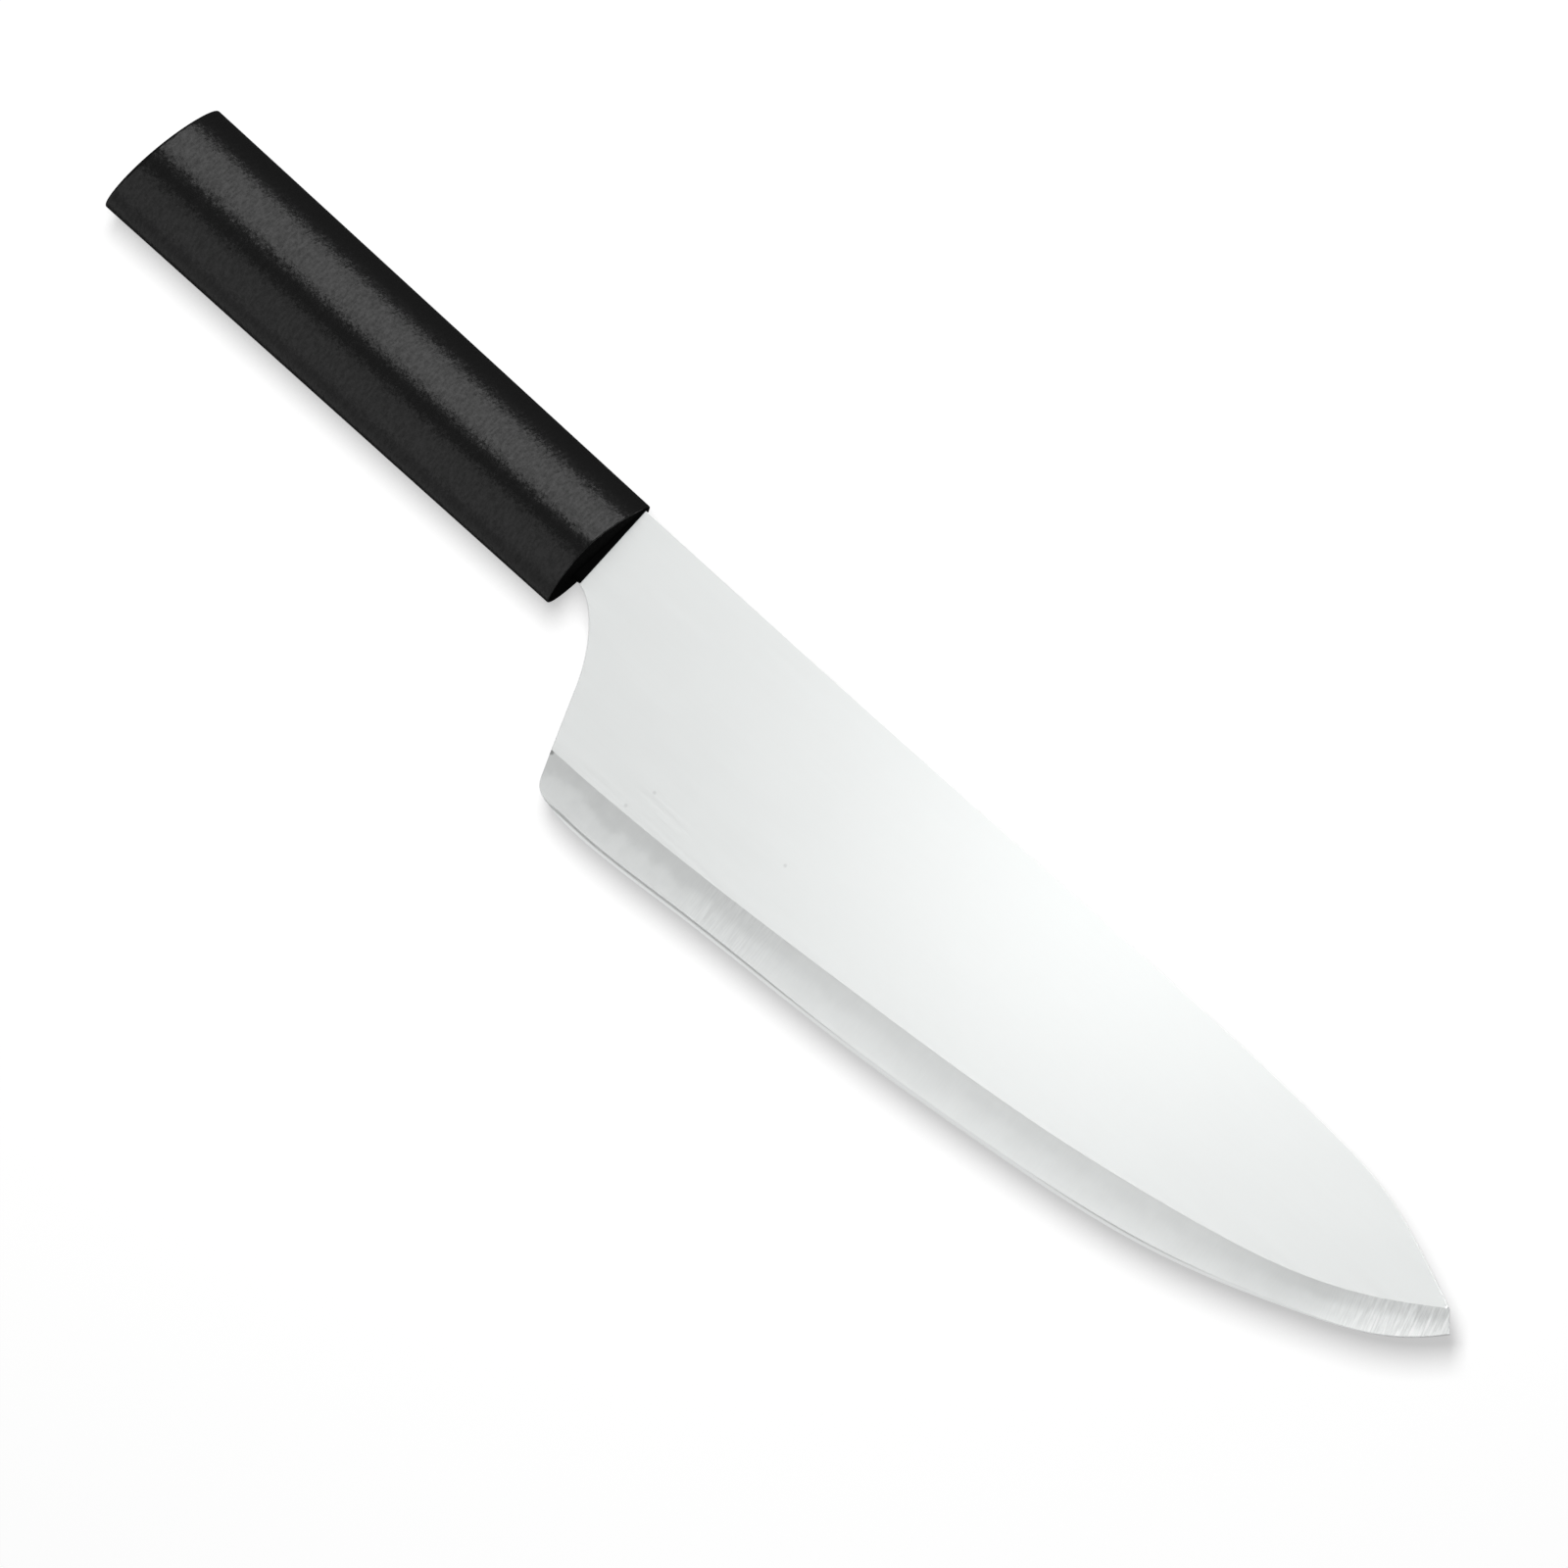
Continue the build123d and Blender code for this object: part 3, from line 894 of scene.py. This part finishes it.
class KnifeSizes(bpy.types.PropertyGroup):
    """The sizes that shape the two pieces."""

    thickness: FloatProperty(
        name="Blade thickness", description="Thickness of the flat of the blade",
        default=0.0019, unit="LENGTH", precision=5,
    )
    hollow_foot: FloatProperty(
        name="Edge thickness", description="Thickness the band would have at the edge",
        default=0.0005, unit="LENGTH", precision=5,
    )
    hollow_sag: FloatProperty(
        name="Hollow sag", description="How far the ground band dips below a straight taper",
        default=0.00009, unit="LENGTH", precision=5,
    )
    bevel_width: FloatProperty(
        name="Bevel width", description="Width of the honed bevel near the heel",
        default=0.0005, unit="LENGTH", precision=5,
    )
    shoulder_width: FloatProperty(
        name="Shoulder width", description="Width of the shoulder above the bevel",
        default=0.0004, unit="LENGTH", precision=5,
    )
    shoulder_angle: FloatProperty(
        name="Shoulder angle", description="Slope of the shoulder above the bevel",
        default=math.radians(4.6), subtype="ANGLE",
    )
    easing: FloatProperty(
        name="Easing", description="Rounding of the corners of the spine and the choil",
        default=0.00004, unit="LENGTH", precision=5,
    )
    front_width: FloatProperty(
        name="Front width", description="Width of the handle at the blade",
        default=0.0259, unit="LENGTH", precision=5,
    )
    front_thickness: FloatProperty(
        name="Front thickness", description="Thickness of the handle at the blade",
        default=0.0172, unit="LENGTH", precision=5,
    )
    butt_width: FloatProperty(
        name="Butt width", description="Width of the handle at its free end",
        default=0.02735, unit="LENGTH", precision=5,
    )
    butt_thickness: FloatProperty(
        name="Butt thickness", description="Thickness of the handle at its free end",
        default=0.0184, unit="LENGTH", precision=5,
    )
    oval_edge: FloatProperty(
        name="Oval edge", description="How blunt the section is on its two narrow sides",
        default=0.40, min=0, max=1,
    )
    oval_flat: FloatProperty(
        name="Oval flat", description="How broad the section stays at the blade",
        default=0.47, min=0, max=1,
    )
    butt_oval_flat: FloatProperty(
        name="Butt oval flat", description="How broad the section stays at the free end",
        default=0.56, min=0, max=1,
    )
    butt_slant: FloatProperty(
        name="Butt slant", description="Lean of the free end",
        default=math.radians(7.8), subtype="ANGLE",
    )
    front_slant: FloatProperty(
        name="Front slant", description="Lean of the end at the blade",
        default=math.radians(4.8), subtype="ANGLE",
    )
    front_setback: FloatProperty(
        name="Front setback", description="How far the front face lies behind the collar",
        default=0.00095, unit="LENGTH", precision=5,
    )
    collar_reach: FloatProperty(
        name="Collar reach", description="How far the collar runs out over the blade",
        default=0.00025, unit="LENGTH", precision=5,
    )
    front_crown: FloatProperty(
        name="Front crown", description="Radius of the bulge of the front face",
        default=0.045, unit="LENGTH", precision=5,
    )
    front_rounding: FloatProperty(
        name="Front rounding", description="Rounding of the rim at the blade",
        default=0.00025, unit="LENGTH", precision=5,
    )
    butt_rounding: FloatProperty(
        name="Butt rounding", description="Rounding of the free end at its narrow sides",
        default=0.0004, unit="LENGTH", precision=5,
    )
    butt_face_rounding: FloatProperty(
        name="Butt face rounding",
        description="How much more the free end is rounded at its broad faces",
        default=0.0005, unit="LENGTH", precision=5,
    )
    ring_points: IntProperty(
        name="Ring points", description="Points round the handle",
        default=256, min=32,
    )
    grip_rows: IntProperty(
        name="Grip rows", description="Rings along the handle",
        default=60, min=8,
    )


class KnifeLook(bpy.types.PropertyGroup):
    """The finishes of the steel and the resin."""

    steel_colour: FloatVectorProperty(
        name="Steel colour", description="Colour of the bare steel",
        default=(0.774, 0.790, 0.784), subtype="COLOR", size=3, min=0, max=1,
    )
    ground_colour: FloatVectorProperty(
        name="Band colour", description="Colour of the freshly ground steel",
        default=(0.845, 0.862, 0.856), subtype="COLOR", size=3, min=0, max=1,
    )
    flat_roughness: FloatProperty(
        name="Flat roughness", description="How soft the sheen of the flat is",
        default=0.46, min=0, max=1,
    )
    ground_roughness: FloatProperty(
        name="Band roughness", description="How soft the sheen of the ground band is",
        default=0.50, min=0, max=1,
    )
    stroke_lean: FloatProperty(
        name="Stroke lean", description="Lean of the strokes at the tip from square",
        default=math.radians(18), subtype="ANGLE",
    )
    stroke_tone: FloatProperty(
        name="Stroke tone", description="How much lighter and darker the strokes are",
        default=0.09, min=0, max=1,
    )
    scratch_depth: FloatProperty(
        name="Stroke depth", description="Depth of the grinding strokes",
        default=0.000004, unit="LENGTH", precision=7,
    )
    resin_colour: FloatVectorProperty(
        name="Resin colour", description="Colour of the handle",
        default=(0.0068, 0.0068, 0.0068), subtype="COLOR", size=3, min=0, max=1,
    )
    resin_roughness: FloatProperty(
        name="Resin roughness", description="How soft the sheen of the handle is",
        default=0.26, min=0, max=1,
    )
    resin_specular: FloatProperty(
        name="Resin sheen", description="Strength of the sheen of the handle",
        default=0.28, min=0, max=1,
    )
    streak_depth: FloatProperty(
        name="Streak depth", description="Depth of the drag lines round the grip",
        default=0.00016, unit="LENGTH", precision=7,
    )
    pebble_depth: FloatProperty(
        name="Pebble depth", description="Depth of the moulded pebble",
        default=0.00002, unit="LENGTH", precision=7,
    )
    sheen_change: FloatProperty(
        name="Sheen change", description="How much the sheen differs over the texture",
        default=0.085, min=0, max=1,
    )


class KnifeStage(bpy.types.PropertyGroup):
    """The table, the lights and the camera."""

    table_glow: FloatProperty(
        name="Table glow", description="Light that comes through the table",
        default=0.53, min=0,
    )
    table_brightness: FloatProperty(
        name="Table lamp", description="Brightness of the lamp that lights the table",
        default=9.6, min=0,
    )
    key_brightness: FloatProperty(
        name="Key brightness", description="Brightness of the wide softbox over the spine",
        default=2.85, min=0,
    )
    fill_brightness: FloatProperty(
        name="Fill brightness", description="Brightness of the dim box over the edge",
        default=0.89, min=0,
    )
    low_fill_brightness: FloatProperty(
        name="Low fill brightness", description="Brightness of the box beside the edge",
        default=0.38, min=0,
    )
    spot_brightness: FloatProperty(
        name="Overhead brightness", description="Brightness of the small overhead box",
        default=2.85, min=0,
    )
    room_brightness: FloatProperty(
        name="Room brightness", description="Brightness of the dark room around",
        default=0.03, min=0,
    )
    camera_lean: FloatProperty(
        name="Camera lean", description="Lean of the camera towards the tip",
        default=math.radians(11), subtype="ANGLE",
    )
    camera_roll: FloatProperty(
        name="Camera roll", description="Roll of the knife across the frame",
        default=math.radians(42.24), subtype="ANGLE",
    )
    camera_distance: FloatProperty(
        name="Camera distance", description="Distance from the camera to the knife",
        default=3.0, unit="LENGTH",
    )
    camera_lens: FloatProperty(
        name="Camera lens", description="Focal length in millimetres",
        default=373.14, min=1,
    )


# ---------------------------------------------------------------------------------------------
# Operators and panel

class KNIFE_OT_blade(bpy.types.Operator):
    """Build the blade with its tang"""

    bl_idname = "knife.make_blade"
    bl_label = "Make blade"

    def execute(self, context):
        look = context.scene.knife_look
        finishes = (satin_steel, ground_steel, sharpened_steel, punched_steel)
        materials = [finish(look) for finish in finishes]
        blade = build_blade(context.scene.knife_sizes, materials)
        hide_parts("blade")
        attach(blade, "root")
        return {"FINISHED"}


class KNIFE_OT_handle(bpy.types.Operator):
    """Build the moulded handle"""

    bl_idname = "knife.make_handle"
    bl_label = "Make handle"

    def execute(self, context):
        look = context.scene.knife_look
        handle = build_handle(context.scene.knife_sizes, [black_resin(look), shaded_resin(look)])
        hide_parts("handle")
        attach(handle, "root")
        return {"FINISHED"}


class KNIFE_OT_stage(bpy.types.Operator):
    """Set up the table, the lights and the camera"""

    bl_idname = "knife.set_stage"
    bl_label = "Set stage"

    def execute(self, context):
        stage = context.scene.knife_stage
        make_floor(stage)
        make_lights(stage)
        make_camera(stage)
        context.scene.view_settings.view_transform = "Standard"
        return {"FINISHED"}


class KNIFE_PT_panel(bpy.types.Panel):
    """The knife's operators, in the order they are used"""

    bl_label = "Chef Knife"
    bl_idname = "KNIFE_PT_panel"
    bl_space_type = "VIEW_3D"
    bl_region_type = "UI"
    bl_category = "Chef Knife"

    def draw(self, context):
        column = self.layout.column()
        for operator in OPERATORS:
            column.operator(operator.bl_idname)


OPERATORS = (KNIFE_OT_blade, KNIFE_OT_handle, KNIFE_OT_stage)
GROUPS = (("knife_sizes", KnifeSizes), ("knife_look", KnifeLook), ("knife_stage", KnifeStage))


def register():
    for name, group in GROUPS:
        bpy.utils.register_class(group)
        setattr(bpy.types.Scene, name, PointerProperty(type=group))
    for operator in OPERATORS:
        bpy.utils.register_class(operator)
    bpy.utils.register_class(KNIFE_PT_panel)


def unregister():
    bpy.utils.unregister_class(KNIFE_PT_panel)
    for operator in reversed(OPERATORS):
        bpy.utils.unregister_class(operator)
    for name, group in reversed(GROUPS):
        delattr(bpy.types.Scene, name)
        bpy.utils.unregister_class(group)


def main():
    register()
    bpy.ops.knife.make_blade()
    bpy.ops.knife.make_handle()
    bpy.ops.knife.set_stage()


if __name__ == "__main__":
    main()
